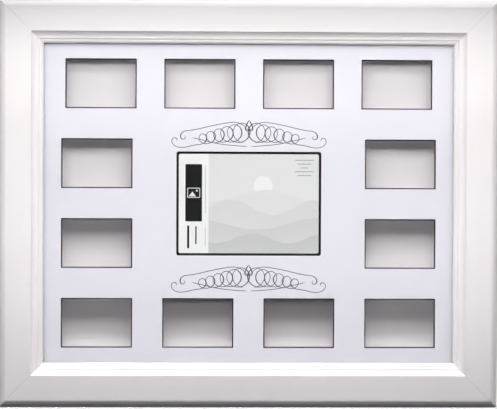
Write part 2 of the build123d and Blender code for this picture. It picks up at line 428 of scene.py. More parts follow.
def model_rail(length):
    """A bar of moulding along X with mitred ends, lying where the bottom rail lies."""
    piece = draw_section(-length / 2 - rail_width)
    pull((length + 2 * rail_width, 0, 0))
    face_outwards()
    pick(piece, "EDGE", runs_at(0, cove_start))
    bpy.ops.mesh.bevel(offset=arris_radius, segments=arris_steps)
    for corner in ((cove_depth, cove_end), (rail_depth, rabbet_edge), (ledge_depth, rail_width)):
        pick(piece, "EDGE", runs_at(*corner))
        bpy.ops.mesh.bevel(offset=sanded_edge, segments=edge_steps)
    for end in (-1, 1):
        bpy.ops.mesh.select_all(action="SELECT")
        place = (end * length / 2, 0, 0)
        bpy.ops.mesh.bisect(plane_co=place, plane_no=(end, 0, 1), clear_outer=True, threshold=fine)
        bpy.ops.mesh.edge_face_add()
    close_piece(piece, smooth_under=30)
    for end in (-1, 1):
        for inset in v_nail_insets:
            cut(piece, v_nail_cutter(end, length, inset))
    keep_flats(piece)
    return piece


rails = {}
for sides, length in ((("bottom", "top"), frame_width), (("left", "right"), frame_height)):
    bar = model_rail(length)
    for side in sides:
        rails[side] = copy_to(bar, f"moulding_{side}", to_side(side))
    print("rails", sides, "each of", len(bar.data.polygons), "faces")
    remove(bar)

# %% [markdown]
# Float glass is cut to size and its sharp edges are ground by hand. The pane is a slab whose edges are
# bevelled by the width of that grinding. It is a hair thinner than the real one at its back, so that
# its face and the face of the mat don't lie in one place, which would speckle the picture.

# %% Glass
glass_relief = 0.1 * mm
ground_edge = 0.3 * mm
glass_low, glass_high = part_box("glass_pane")
glass_high.y -= glass_relief

deselect()
bpy.ops.mesh.primitive_cube_add(size=1, location=(glass_low + glass_high) / 2)
glass = bpy.context.object
glass.name = "glass"
glass.data.name = "glass"
glass.scale = glass_high - glass_low
bpy.ops.object.transform_apply()
bpy.ops.object.mode_set(mode="EDIT")
bpy.ops.mesh.select_all(action="SELECT")
bpy.ops.mesh.bevel(offset=ground_edge, segments=2)
close_piece(glass, smooth_under=20)
print("glass", [round(side / mm, 2) for side in glass.dimensions], "mm")

# %% [markdown]
# The turn buttons are stamped from nickel-plated strip: a wide root with the screw hole, tapering to a
# round tip that is bent up for the finger. One is made at the origin, with its pivot at zero and its
# tip upwards. A circle is stretched into the outline by moving its upper half, the hole's rim is
# bridged to it, and the plate is bent in small turns, as a press leaves it.

# %% Turn button
button_root_radius = 5.5 * mm
button_tip_radius = 4.2 * mm
button_reach = 15.0 * mm
button_thickness = 1.0 * mm
button_gap = 0.15 * mm
button_hole_radius = 1.56 * mm
button_lift_length = 4.5 * mm
button_bend = 9.0
button_bends = 3
button_edge = 0.18 * mm
button_points = 72
stamped_angle = math.radians(60)


def add_circle(radius):
    """A circle of the button's outline, upright and a small gap behind the plane y = 0."""
    place = (0, button_gap, 0)
    upright = (math.radians(90), 0, 0)
    bpy.ops.mesh.primitive_circle_add(
        vertices=button_points, radius=radius, location=place, rotation=upright
    )


def bend_up(piece, line, angle):
    """Creases the plate across at that height and turns what lies beyond it away from the rail."""
    bpy.ops.mesh.select_all(action="SELECT")
    bpy.ops.mesh.bisect(plane_co=(0, 0, line), plane_no=(0, 0, 1), threshold=fine)
    pick(piece, "VERT", lambda point: point.co.z > line + near)
    crease = (0, button_gap, line)
    bpy.ops.transform.rotate(
        value=math.radians(angle), orient_axis="X", orient_type="GLOBAL", center_override=crease
    )


def model_button():
    """A turn button, a small gap behind the plane y = 0, with its pivot at the origin and its tip up."""
    deselect()
    add_circle(button_root_radius)
    piece = bpy.context.object
    bpy.ops.object.transform_apply()
    bpy.ops.object.mode_set(mode="EDIT")
    pick(piece, "VERT", lambda point: point.co.z > near)
    narrowing = button_tip_radius / button_root_radius
    bpy.ops.transform.resize(value=(narrowing, 1, narrowing), center_override=(0, 0, 0))
    bpy.ops.transform.translate(value=(0, 0, button_reach))
    add_circle(button_hole_radius)
    bpy.ops.mesh.select_all(action="SELECT")
    bpy.ops.mesh.bridge_edge_loops()
    bpy.ops.mesh.select_all(action="SELECT")
    pull((0, button_thickness, 0))
    face_outwards()
    pick(piece, "EDGE", lambda edge: edge.calc_face_angle(0) > stamped_angle)
    bpy.ops.mesh.bevel(offset=button_edge, segments=3)
    end = button_reach + button_tip_radius
    for step in range(button_bends):
        line = end - button_lift_length * (1 - step / (2 * button_bends))
        bend_up(piece, line, button_bend / button_bends)
    close_piece(piece, smooth_under=40)
    return piece


# %% [markdown]
# The frame's list of joints says where each button's pivot is. The button of the bottom rail points
# upwards over the backing, and those of the other sides are turned with their rail.

# %% Buttons on their pivots


def joint_place(body):
    """Where a body's pivot is, turned so that what is made for the bottom rail fits its side."""
    joint = next(joint for joint in frame["joints"] if joint["child"] == body)
    side = body.split("_")[2]
    turn = Matrix.Rotation(math.radians(SIDE_ANGLES[side]), 4, "Y")
    return Matrix.Translation(Vector(joint["pos_m"])) @ turn


button_bodies = sorted(body for body in frame["bodies"] if body.startswith("turn_button"))
button_start = model_button()
buttons = {body: copy_to(button_start, f"plate_{body}", joint_place(body)) for body in button_bodies}
print(len(buttons), "buttons, each of", len(button_start.data.polygons), "faces")
remove(button_start)

# %% [markdown]
# Each button turns on a small pan-head screw. Round things like this are spun: half the section is
# drawn from the axis out and back, and turned once round. The cross recess is two crossed wedges cut
# out of the head. Screws driven by hand never line up, so each copy is turned by its own angle.

# %% Screws
screw_radius = 1.5 * mm
screw_length = 12 * mm
screw_point = 3 * mm
screw_under_head = 1.3 * mm
screw_head_radius = 3.05 * mm
screw_head_height = 1.25 * mm
screw_rim = 0.35 * mm
crown_across = 0.62
crown_drop = 0.13
crown_steps = 12
recess_reach = 1.75 * mm
recess_width = 0.55 * mm
recess_depth = 1.0 * mm
recess_taper = 0.55
first_screw_turn = 17
next_screw_turn = 53
spin_steps = 48


def spin_round(piece):
    """Spins a drawn half section once round the Y axis and closes it."""
    bpy.ops.mesh.select_all(action="SELECT")
    bpy.ops.mesh.spin(steps=spin_steps, angle=math.radians(360), center=(0, 0, 0), axis=(0, 1, 0))
    close_piece(piece, smooth_under=40)


def recess_blade(size, crown):
    """A wedge of that half size across, wide at the crown of the head and narrow at its bottom."""
    deselect()
    bpy.ops.mesh.primitive_cube_add(size=2, location=(0, crown, 0))
    blade = bpy.context.object
    blade.scale = (size[0], recess_depth, size[1])
    bpy.ops.object.transform_apply()
    bpy.ops.object.mode_set(mode="EDIT")
    pick(blade, "FACE", lambda face: face.normal.y < -squarely)
    bpy.ops.transform.resize(value=(recess_taper, 1, recess_taper), center_override=(0, crown, 0))
    bpy.ops.object.mode_set(mode="OBJECT")
    return blade


def model_screw():
    """A pan-head screw along Y, its point in front of the plane y = 0 and its head behind it."""
    head = screw_under_head
    crown = head + screw_head_height
    start = Vector((0, crown, 0))
    piece = start_point("screw", start)
    rim = Vector((screw_head_radius, head + screw_rim, 0))
    bulge = Vector((screw_head_radius * crown_across, crown - screw_head_height * crown_drop, 0))
    pen = arc_to(start, bulge, rim, crown_steps)
    shank = [(screw_radius, head), (screw_radius, screw_point - screw_length), (0, -screw_length)]
    line_to(pen, *[Vector((x, y, 0)) for x, y in [(screw_head_radius, head)] + shank])
    spin_round(piece)
    for size in ((recess_reach, recess_width), (recess_width, recess_reach)):
        cut(piece, recess_blade(size, crown))
    bpy.ops.object.shade_smooth_by_angle(angle=math.radians(40))
    return piece


screw_start = model_screw()
screws = []
for number, body in enumerate(button_bodies):
    own_turn = Matrix.Rotation(math.radians(first_screw_turn + next_screw_turn * number), 4, "Y")
    screws.append(copy_to(screw_start, "screw", joint_place(body) @ own_turn))
remove(screw_start)
button_screws = join("button_screws", screws)
print("screws", len(button_screws.data.polygons), "faces in all")

# %% [markdown]
# The frame hangs by a sawtooth hanger in the middle of the top rail: a brassed strip with nine notches
# between the teeth of its lower edge, raised in its middle so that a nail's head can get behind it. The
# outline with its teeth is drawn and pulled to its thickness, its corners are rounded, the plate is
# creased across four times, and the middle is lifted. The nail holes and the edges come last.

# %% Sawtooth hanger
hanger_length = 46.0 * mm
hanger_width = 9.0 * mm
hanger_thickness = 0.8 * mm
hanger_lift = 1.3 * mm
hanger_tab = 9.0 * mm
hanger_ramp = 2.5 * mm
hanger_corner = 1.5 * mm
hanger_inset = 13.0 * mm
hanger_corner_steps = 6
hanger_edge = 0.12 * mm
hanger_edge_angle = math.radians(50)
notch_count = 9
notch_pitch = 2.2 * mm
notch_depth = 1.4 * mm
nail_hole_radius = 0.85 * mm
nail_hole_points = 32
nail_spacing = hanger_length - hanger_tab


def hanger_outline():
    """The points round the hanger, from its first tooth on, with the teeth on its upper edge."""
    half_length = hanger_length / 2
    half_width = hanger_width / 2
    points = []
    for index in range(notch_count):
        across = (index - (notch_count - 1) / 2) * notch_pitch
        points.append((across - notch_pitch / 2, half_width))
        points.append((across, half_width - notch_depth))
    points.append((notch_count * notch_pitch / 2, half_width))
    points += [(half_length, half_width), (half_length, -half_width)]
    points += [(-half_length, -half_width), (-half_length, half_width)]
    return [Vector((x, back_y, hanger_inset + z)) for x, z in points]


def nail_hole_punch(end):
    """A rod that cuts the nail hole at one end of the hanger."""
    deselect()
    place = (end * nail_spacing / 2, back_y, hanger_inset)
    bpy.ops.mesh.primitive_cylinder_add(
        vertices=nail_hole_points,
        radius=nail_hole_radius,
        depth=4 * hanger_thickness,
        location=place,
        rotation=(math.radians(90), 0, 0),
    )
    bpy.ops.object.transform_apply()
    return bpy.context.object


def model_hanger():
    """The hanger, on the back of the bottom rail with its teeth upwards."""
    outline = hanger_outline()
    piece = start_point("hanger", outline[0])
    line_to(*outline, outline[0])
    close_outline()
    pull((0, hanger_thickness, 0))
    face_outwards()
    corner = Vector((hanger_length / 2, hanger_width / 2))

    def at_corner(edge):
        points = [Vector((abs(point.co.x), abs(point.co.z - hanger_inset))) for point in edge.verts]
        return all((point - corner).length < near for point in points)

    pick(piece, "EDGE", at_corner)
    bpy.ops.mesh.bevel(offset=hanger_corner, segments=hanger_corner_steps)
    flat = hanger_length / 2 - hanger_tab
    raised = flat - hanger_ramp
    for crease in (-flat, -raised, raised, flat):
        bpy.ops.mesh.select_all(action="SELECT")
        bpy.ops.mesh.bisect(plane_co=(crease, 0, 0), plane_no=(1, 0, 0), threshold=fine)
    pick(piece, "VERT", lambda point: abs(point.co.x) < raised + near)
    bpy.ops.transform.translate(value=(0, hanger_lift, 0))
    close_piece(piece, smooth_under=20)
    for end in (-1, 1):
        cut(piece, nail_hole_punch(end))
    edge = {"width": hanger_edge, "segments": 2, "limit_method": "ANGLE", "angle_limit": hanger_edge_angle}
    apply_modifier(piece, "BEVEL", edge)
    keep_flats(piece)
    return piece


hanger_start = model_hanger()
hanger = copy_to(hanger_start, "hanger_plate", to_side("top"))
remove(hanger_start)
print("hanger", len(hanger.data.polygons), "faces")

# %% [markdown]
# Two wire nails hold the hanger. Their heads are flat with a low crown, as the nail machine upsets
# them, and their points are cones. They are spun like the screws.

# %% Hanger nails
nail_radius = 0.8 * mm
nail_length = 11.0 * mm
nail_point = 2.0 * mm
nail_head_radius = 1.9 * mm
nail_head_height = 0.5 * mm
nail_rim_drop = 0.25 * mm
nail_crown_across = 0.6
nail_crown_drop = 0.07 * mm
nail_crown_steps = 8


def model_nail():
    """A nail along Y with its head just behind the plane y = 0."""
    under = hanger_thickness
    crown = under + nail_head_height
    start = Vector((0, crown, 0))
    piece = start_point("nail", start)
    bulge = Vector((nail_head_radius * nail_crown_across, crown - nail_crown_drop, 0))
    rim = Vector((nail_head_radius, crown - nail_rim_drop, 0))
    pen = arc_to(start, bulge, rim, nail_crown_steps)
    shank = [(nail_radius, under), (nail_radius, nail_point - nail_length), (0, -nail_length)]
    line_to(pen, *[Vector((x, y, 0)) for x, y in [(nail_head_radius, under)] + shank])
    spin_round(piece)
    return piece


nail_start = model_nail()
nails = []
for end in (-1, 1):
    place = Matrix.Translation((end * nail_spacing / 2, back_y, hanger_inset))
    nails.append(copy_to(nail_start, "nail", to_side("top") @ place))
remove(nail_start)
hanger_nails = join("nails", nails)
print("nails", len(hanger_nails.data.polygons), "faces in all")

# %% [markdown]
# Four felt pads keep the frame off the wall. Stamped felt has a soft rim and a slightly uneven nap, so
# the pad is spun from a section with a rounded rim, in enough rings to be displaced by a cloud pattern
# of the size of the nap.

# %% Felt bumpers
bumper_radius = 5.5 * mm
bumper_height = 3.0 * mm
bumper_inset = 8.5 * mm
bumper_rim = 0.7 * mm
face_rings = 14
rim_steps = 4
side_rings = 5
nap_size = 0.7 * mm
nap_height = 0.12 * mm
# Each corner of the frame: which hand, how far up, and by how much its pad is turned
BUMPER_CORNERS = {
    "lower_left": (-1, 0, 0),
    "lower_right": (1, 0, -90),
    "upper_left": (-1, 1, 90),
    "upper_right": (1, 1, 180),
}


def model_bumper():
    """A felt pad on the plane y = 0, centred on the Y axis."""
    inner = bumper_radius - bumper_rim
    top = bumper_height - nap_height / 2
    shoulder = top - bumper_rim
    start = Vector((0, top, 0))
    piece = start_point("bumper", start)
    rings = [inner * (ring + 1) / face_rings for ring in range(face_rings)]
    pen = line_to(start, *[Vector((radius, top, 0)) for radius in rings])
    corner = Vector((inner + bumper_rim * quarter_share, top - bumper_rim * (1 - quarter_share), 0))
    pen = arc_to(pen, corner, Vector((bumper_radius, shoulder, 0)), rim_steps)
    levels = [shoulder * (1 - (ring + 1) / side_rings) for ring in range(side_rings)]
    line_to(pen, *[Vector((bumper_radius, level, 0)) for level in levels], Vector((0, 0, 0)))
    spin_round(piece)
    nap = bpy.data.textures.new("nap", "CLOUDS")
    nap.noise_scale = nap_size
    apply_modifier(piece, "DISPLACE", {"texture": nap, "texture_coords": "LOCAL", "strength": nap_height})
    return piece


bumper_start = model_bumper()
bumpers = {}
for name, (hand, level, angle) in BUMPER_CORNERS.items():
    corner = Matrix.Translation((hand * frame_width / 2, back_y, level * frame_height))
    turn = Matrix.Rotation(math.radians(angle), 4, "Y")
    inset = Matrix.Translation((bumper_inset, 0, bumper_inset))
    bumpers[f"bumper_{name}"] = copy_to(bumper_start, f"felt_{name}", corner @ turn @ inset)
remove(bumper_start)
print(len(bumpers), "bumpers")

# %% [markdown]
# Between the windows the mat carries a line of ornament above and below the centre window. It is
# penwork: a few strokes with a broad nib, mirrored about the middle. A pen stroke bends more and less
# along its way, so each stroke is given as a start, a heading and a few bends, each with its length
# and its curvature at both ends. A running loop is one whole turn, slack below and tight above. The
# strokes are followed in small steps, and their width swells where the pen comes down.

# %% Penwork
pen_step = 0.4
nib_thin = 0.32
nib_thick = 0.55
nib_swell = 1.5
stroke_end = 0.25
stroke_taper = 3
loop_slack = 0.09
ink_relief = 0.03 * mm
ornament_drop = {"above": 58.5 * mm, "below": -62.7 * mm}


def follow_pen(start, heading, bends):
    """The points of a stroke and the pen's half width at each, in millimetres."""
    x, z = start
    heading = math.radians(heading)
    points = [(x, z, heading)]
    for length, curve_start, curve_end in bends:
        count = round(length / pen_step)
        for step in range(count):
            curve = curve_start + (curve_end - curve_start) * (step + 0.5) / count
            heading += curve * pen_step
            x += math.cos(heading) * pen_step
            z += math.sin(heading) * pen_step
            points.append((x, z, heading))
    stroke = []
    for index, (x, z, heading) in enumerate(points):
        ends = min(index, len(points) - 1 - index) * pen_step / stroke_taper
        swell = max(0, -math.sin(heading)) ** nib_swell
        width = nib_thin + (nib_thick - nib_thin) * swell
        stroke.append((x, z, width * min(1, stroke_end + ends)))
    return stroke


def running_loops(lengths):
    """The bends of loops in a row, each drawn with twice that length of line."""
    bends = []
    for length in lengths:
        tight = 2 * math.pi / length - loop_slack
        bends += [(length, loop_slack, tight), (length, tight, loop_slack)]
    return tuple(bends)


# The strokes of the right half: where each starts, its heading in degrees, and its bends
loop_line_end = ((8, -0.01, -0.03), (9, 0.02, 0.06), (9, 0.08, 0.22), (8, 0.3, 0.6))
upper_arc = ((14, -0.10, -0.06), (26, -0.01, 0.0), (12, 0.01, 0.015), (9, -0.10, -0.3), (7, -0.4, -0.7))
STROKES = {
    "loop line": ((4.5, -7.5), 4, running_loops((26, 23.4, 21, 18.6, 16.4, 14.4)) + loop_line_end),
    "upper arc": ((2.5, 4.5), 58, upper_arc),
    "leaf": ((0, 11.5), -58, ((7, -0.02, -0.05), (4.4, -0.42, -0.56), (4.4, -0.25, -0.1))),
    "lower arc": ((1.5, -10.5), 3, ((26, 0.0, 0.01), (12, 0.01, 0.0), (9, 0.0, 0.0))),
}


def model_ornament(name, drop):
    """The mirrored strokes, flattened onto the face of the mat."""
    curve = bpy.data.curves.new(name, "CURVE")
    curve.dimensions = "3D"
    curve.bevel_depth = mm
    curve.bevel_resolution = 1
    curve.use_fill_caps = True
    for hand in (-1, 1):
        for start, heading, bends in STROKES.values():
            stroke = follow_pen(start, heading, bends)
            line = curve.splines.new("POLY")
            line.points.add(len(stroke) - 1)
            for point, (x, z, width) in zip(line.points, stroke):
                point.co = (hand * x * mm, 0, z * mm, 1)
                point.radius = width
    piece = bpy.data.objects.new(name, curve)
    bpy.context.scene.collection.objects.link(piece)
    select_only(piece)
    bpy.ops.object.convert(target="MESH")
    piece.scale.y = ink_relief / (nib_thick * mm)
    piece.location = (0, mat_face, frame_height / 2 + drop)
    bpy.ops.object.transform_apply()
    piece.data.name = name
    return piece


ornaments = {place: model_ornament(f"ornament_{place}", drop) for place, drop in ornament_drop.items()}
print("ornaments", [len(piece.data.polygons) for piece in ornaments.values()], "faces")

# %% [markdown]
# Now the finishes. Each reads the place on the piece in millimetres, so that the scale of a pattern is
# simply one over the size of what it draws. Some also need to know how far a point lies from the
# outer sides of the frame. Most natural surfaces waver between two near colours in spots of a certain
# size, so one function makes such a mottled colour, and also gives the spots themselves.

# %% Places, mottling and the shader


def in_mm(material):
    """The place on the piece in millimetres."""
    place = add(material, "TexCoord").outputs["Object"]
    scaled = add(material, "VectorMath", {"operation": "SCALE", "Scale": 1 / mm}, {0: place})
    return scaled.outputs["Vector"]


def from_sides(material, place):
    """How far a point lies from the nearer upright side of the frame, and from its top or bottom."""
    half_width = frame_width / 2 / mm
    half_height = frame_height / 2 / mm
    axes = add(material, "SeparateXYZ", links={0: place})
    across = add(material, "Math", {"operation": "ABSOLUTE"}, {0: axes.outputs["X"]})
    inward = add(material, "Math", {"operation": "SUBTRACT", 0: half_width}, {1: across.outputs[0]})
    level = add(material, "Math", {"operation": "SUBTRACT", 1: half_height}, {0: axes.outputs["Z"]})
    height = add(material, "Math", {"operation": "ABSOLUTE"}, {0: level.outputs[0]})
    upward = add(material, "Math", {"operation": "SUBTRACT", 0: half_height}, {1: height.outputs[0]})
    return inward.outputs[0], upward.outputs[0]


def mottled(material, place, size, first, second, detail, roughness=0.5):
    """Spots of that size in millimetres, and the colour that they blend from two."""
    noise = {"Scale": 1 / size, "Detail": detail, "Roughness": roughness}
    spots = add(material, "TexNoise", noise, {"Vector": place})
    colours = {"data_type": "RGBA", MIX_A: linear(first), MIX_B: linear(second)}
    blend = add(material, "Mix", colours, {0: spots.outputs["Fac"]})
    return spots, blend.outputs[MIXED]


def finish_with(material, settings, links=()):
    """Ends a material with its shader."""
    shader = add(material, "BsdfPrincipled", settings, links)
    add(material, "OutputMaterial", links={"Surface": shader.outputs["BSDF"]})
    print("finish:", material.name)
    return material


# %% [markdown]
# Sprayed satin lacquer on fibreboard is almost even: a faint orange peel about two millimetres across
# breaks up its gloss, large soft clouds show how the coats vary, and a hairline opens in the lacquer
# where two rails meet in the mitre, because the glue line moves with the weather.

# %% Satin white lacquer
lacquer = new_material("satin white lacquer")
lacquer_place = in_mm(lacquer)
peel = add(lacquer, "TexNoise", {"Scale": 1 / 1.9, "Detail": 2}, {"Vector": lacquer_place})
clouds, coat = mottled(lacquer, lacquer_place, 45, "#E8E2E3", "#ECE7E8", 3)
inward, upward = from_sides(lacquer, lacquer_place)
off_mitre = add(lacquer, "Math", {"operation": "SUBTRACT"}, {0: inward, 1: upward})
off_mitre = add(lacquer, "Math", {"operation": "ABSOLUTE"}, {0: off_mitre.outputs[0]})
hairline_reach = {"From Min": 0.06, "From Max": 0.22, "To Min": 1, "To Max": 0}
hairline = add(lacquer, "MapRange", hairline_reach, {"Value": off_mitre.outputs[0]})
shade = add(lacquer, "Math", {"operation": "MULTIPLY", 1: 0.5}, {0: hairline.outputs[0]})
glue_brown = {"data_type": "RGBA", MIX_B: linear("#8A7C70")}
jointed = add(lacquer, "Mix", glue_brown, {0: shade.outputs[0], MIX_A: coat})
sheen = add(lacquer, "MapRange", {"To Min": 0.36, "To Max": 0.46}, {"Value": clouds.outputs["Fac"]})
peel_bump = add(lacquer, "Bump", {"Strength": 0.25, "Distance": 0.02 * mm}, {"Height": peel.outputs["Fac"]})
crack = add(
    lacquer,
    "Bump",
    {"Strength": 0.5, "Distance": 0.05 * mm, "invert": True},
    {"Height": hairline.outputs[0], "Normal": peel_bump.outputs[0]},
)
finish_with(
    lacquer,
    {"IOR": 1.5, "Specular IOR Level": 0.3},
    {"Base Color": jointed.outputs[MIXED], "Roughness": sheen.outputs[0], "Normal": crack.outputs[0]},
)

# %% [markdown]
# The back of the rails and their rabbet are left as milled: raw fibreboard, warm brown, with fine
# speckles of darker fibre. The spray gun's mist reaches a few millimetres round the outer edge and
# fades out unevenly.

# %% Raw fibreboard
fibreboard = new_material("raw fibreboard")
board_place = in_mm(fibreboard)
fibre_noise = {"Scale": 1 / 0.45, "Detail": 5, "Roughness": 0.7}
fibres = add(fibreboard, "TexNoise", fibre_noise, {"Vector": board_place})
patches = add(fibreboard, "TexNoise", {"Scale": 1 / 12, "Detail": 2}, {"Vector": board_place})
speckle = add(fibreboard, "ValToRGB", links={0: fibres.outputs["Fac"]})
speckle.color_ramp.elements[0].position = 0.33
speckle.color_ramp.elements[0].color = linear("#7E6142")
speckle.color_ramp.elements[1].position = 0.62
speckle.color_ramp.elements[1].color = linear("#B4946B")
inward, upward = from_sides(fibreboard, board_place)
to_edge = add(fibreboard, "Math", {"operation": "MINIMUM"}, {0: inward, 1: upward})
drift_links = {0: patches.outputs["Fac"], 2: to_edge.outputs[0]}
drift = add(fibreboard, "Math", {"operation": "MULTIPLY_ADD", 1: 5.0}, drift_links)
mist_reach = {"From Min": 3.0, "From Max": 7.5, "To Min": 0.85, "To Max": 0}
mist = add(fibreboard, "MapRange", mist_reach, {"Value": drift.outputs[0]})
overspray = {"data_type": "RGBA", MIX_B: linear("#E6E2DF")}
sprayed = add(fibreboard, "Mix", overspray, {0: mist.outputs[0], MIX_A: speckle.outputs["Color"]})
fibre_relief = {"Strength": 0.4, "Distance": 0.05 * mm}
fibre_bump = add(fibreboard, "Bump", fibre_relief, {"Height": fibres.outputs["Fac"]})
finish_with(
    fibreboard,
    {"Roughness": 0.85},
    {"Base Color": sprayed.outputs[MIXED], "Normal": fibre_bump.outputs[0]},
)

# %% [markdown]
# On each rail the lacquer covers the front, the outer side, the lip and the mitre faces, which meet and
# hide each other, and the fibreboard shows on the back and in the rabbet. A face belongs to one or the
# other by where its middle lies.

# %% Lacquered and raw faces
eased_rim = 0.2 * mm


def is_raw(face, turn_back):
    """True for the faces of a rail that the spray gun doesn't reach."""
    centre = turn_back @ face.center
    normal = turn_back.to_3x3() @ face.normal
    depth = centre.y - front_y
    in_rabbet = normal.z > squarely and depth > ledge_depth
    return normal.y > squarely or in_rabbet or depth > rail_depth - eased_rim


for side, rail in rails.items():
    turn_back = to_side(side).inverted()
    rail.data.materials.append(lacquer)
    rail.data.materials.append(fibreboard)
    for face in rail.data.polygons:
        face.material_index = 1 if is_raw(face, turn_back) else 0

# %% [markdown]
# The pane is common float glass, a little green in its thickness. In front of a white mat it is all but
# invisible, so it is a thin see-through skin with a weak green tint and a clean, glossy face, and faint
# wiping marks only change its gloss.

# %% Clear float glass
float_glass = new_material("clear float glass")
wiped = {"Scale": (1, 1, 3), "Rotation": (0, 0.5, 0)}
stretched = add(float_glass, "Mapping", wiped, {"Vector": in_mm(float_glass)})
wiping = add(float_glass, "TexNoise", {"Scale": 1 / 30, "Detail": 4}, {"Vector": stretched.outputs[0]})
gloss = add(float_glass, "MapRange", {"To Min": 0.0, "To Max": 0.09}, {"Value": wiping.outputs["Fac"]})
clear = {"Base Color": linear("#26302C"), "IOR": 1.52, "Alpha": 0.045}
finish_with(float_glass, clear, {"Roughness": gloss.outputs[0]})
glass.data.materials.append(float_glass)

# %% [markdown]
# The mat is solid-core board: a smooth paper face of a cool white over a blue-black core, which shows
# as a dark line wherever a window is cut through it with a bevelled blade. The face paper is about a
# seventh of a millimetre thick, so a thin white edge lies between the face and the dark bevel.

# %% Mat board
face_paper = 0.15
mat_board = new_material("white mat board with a dark core")
mat_place = in_mm(mat_board)
tooth, core = mottled(mat_board, mat_place, 0.5, "#15141B", "#302F39", 4, 0.6)
_, paper = mottled(mat_board, mat_place, 9, "#F1EEF7", "#F5F3FB", 4, 0.6)
facing = add(mat_board, "NewGeometry")
facing_axes = add(mat_board, "SeparateXYZ", links={0: facing.outputs["True Normal"]})
flatness = add(mat_board, "Math", {"operation": "ABSOLUTE"}, {0: facing_axes.outputs["Y"]})
cut_edge = add(mat_board, "Math", {"operation": "LESS_THAN", 1: squarely}, {0: flatness.outputs[0]})
mat_axes = add(mat_board, "SeparateXYZ", links={0: mat_place})
below_paper = {"operation": "GREATER_THAN", 1: mat_face / mm + face_paper}
under_face = add(mat_board, "Math", below_paper, {0: mat_axes.outputs["Y"]})
both = {0: cut_edge.outputs[0], 1: under_face.outputs[0]}
shows_core = add(mat_board, "Math", {"operation": "MULTIPLY"}, both)
layers = {0: shows_core.outputs[0], MIX_A: paper, MIX_B: core}
board_colour = add(mat_board, "Mix", {"data_type": "RGBA"}, layers)
paper_relief = {"Strength": 0.2, "Distance": 0.02 * mm}
tooth_bump = add(mat_board, "Bump", paper_relief, {"Height": tooth.outputs["Fac"]})
finish_with(
    mat_board,
    {"Roughness": 0.82, "Specular IOR Level": 0.1},
    {"Base Color": board_colour.outputs[MIXED], "Normal": tooth_bump.outputs[0]},
)

# %% [markdown]
# The ornament is written on the mat in grey drawing ink, which pools a little and dries unevenly.

# %% Drawing ink
ink = new_material("grey drawing ink")
_, ink_tone = mottled(ink, in_mm(ink), 1.2, "#3F3D44", "#66646B", 3)
finish_with(ink, {"Roughness": 0.7, "Specular IOR Level": 0.1}, {"Base Color": ink_tone})
for piece in ornaments.values():
    piece.data.materials.append(ink)

# %% [markdown]
# The backing is hardboard, faced in front with white paper that shows through the empty windows. Its
# back is bare: dark brown, with the print of the wire screen on which such board is pressed.

# %% Hardboard
hardboard = new_material("hardboard faced with white paper")
hard_place = in_mm(hardboard)
hard_noise = {"Scale": 1 / 0.8, "Detail": 5, "Roughness": 0.65}
hard_fibres = add(hardboard, "TexNoise", hard_noise, {"Vector": hard_place})
hard_patches, liner = mottled(hardboard, hard_place, 25, "#EAE4E6", "#F0EBEC", 3)
brown = add(hardboard, "ValToRGB", links={0: hard_fibres.outputs["Fac"]})
brown.color_ramp.elements[0].position = 0.3
brown.color_ramp.elements[0].color = linear("#5B3F28")
brown.color_ramp.elements[1].position = 0.7
brown.color_ramp.elements[1].color = linear("#8B6A48")
fading = {"data_type": "RGBA", "blend_type": "MULTIPLY", 0: 0.35}
faded_links = {MIX_A: brown.outputs["Color"], MIX_B: hard_patches.outputs["Color"]}
faded = add(hardboard, "Mix", fading, faded_links)
hard_facing = add(hardboard, "NewGeometry")
hard_axes = add(hardboard, "SeparateXYZ", links={0: hard_facing.outputs["True Normal"]})
front_side = add(hardboard, "Math", {"operation": "LESS_THAN", 1: -0.5}, {0: hard_axes.outputs["Y"]})
two_sides = {0: front_side.outputs[0], MIX_A: faded.outputs[MIXED], MIX_B: liner}
hard_colour = add(hardboard, "Mix", {"data_type": "RGBA"}, two_sides)
screen_wires = {"Scale": 1 / 1.6, "Randomness": 0.15, "distance": "CHEBYCHEV"}
wires = add(hardboard, "TexVoronoi", screen_wires, {"Vector": hard_place})
wire_relief = {"Strength": 0.35, "Distance": 0.15 * mm}
screen_bump = add(hardboard, "Bump", wire_relief, {"Height": wires.outputs["Distance"]})
finish_with(
    hardboard,
    {"Roughness": 0.75, "Specular IOR Level": 0.15},
    {"Base Color": hard_colour.outputs[MIXED], "Normal": screen_bump.outputs[0]},
)

# %% [markdown]
# Inside, foam board strips keep the depth, and two strips of creped masking tape hold the card. They
# are hidden when the frame is closed, but each still gets its own finish.

# %% Foam board and masking tape
foam_board = new_material("foam board")
cells = add(foam_board, "TexVoronoi", {"Scale": 1 / 0.6}, {"Vector": in_mm(foam_board)})
foam_whites = {"data_type": "RGBA", MIX_A: linear("#EFEFEC"), MIX_B: linear("#DEDEDA")}
foam_tone = add(foam_board, "Mix", foam_whites, {0: cells.outputs["Distance"]})
foam_relief = {"Strength": 0.4, "Distance": 0.1 * mm}
foam_bump = add(foam_board, "Bump", foam_relief, {"Height": cells.outputs["Distance"]})
foam_links = {"Base Color": foam_tone.outputs[MIXED], "Normal": foam_bump.outputs[0]}
finish_with(foam_board, {"Roughness": 0.9}, foam_links)

masking_tape = new_material("masking tape")
crepe_way = add(masking_tape, "Mapping", {"Scale": (0.15, 1, 1)}, {"Vector": in_mm(masking_tape)})
crepe, tape_tone = mottled(masking_tape, crepe_way.outputs[0], 0.7, "#D8CBA6", "#E6DCBC", 3)
crepe_relief = {"Strength": 0.5, "Distance": 0.05 * mm}
crepe_bump = add(masking_tape, "Bump", crepe_relief, {"Height": crepe.outputs["Fac"]})
finish_with(masking_tape, {"Roughness": 0.7}, {"Base Color": tape_tone, "Normal": crepe_bump.outputs[0]})

